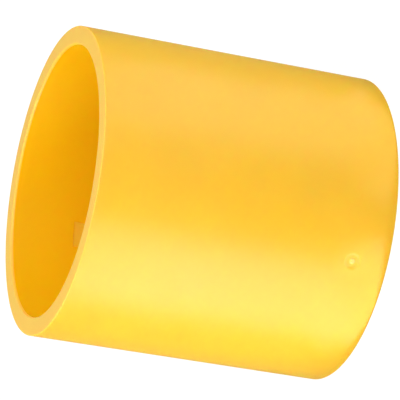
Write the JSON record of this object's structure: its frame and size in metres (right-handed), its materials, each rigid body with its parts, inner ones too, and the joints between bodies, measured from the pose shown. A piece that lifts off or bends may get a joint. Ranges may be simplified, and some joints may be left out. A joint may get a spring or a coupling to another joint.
{
  "type": "conduit coupling",
  "caption": "Plain round plastic sleeve that joins two lengths of rigid conduit end to end, with a small lead-in at each mouth and a low stop ring between the sockets.",
  "frame": {"origin": "middle of the lower end face's plane, which the sleeve stands on", "axes": "+Z along the bore from the lower mouth to the upper one; -Y is the side with the small gate mark; +X follows by the right hand"},
  "size_m": [0.0572, 0.0572, 0.056],
  "materials": {
    "sleeve_plastic": "satin-gloss moulded, slightly translucent golden yellow"
  },
  "bodies": {
    "root": {"coupling_sleeve": "sleeve_plastic"}
  },
  "joints": []
}
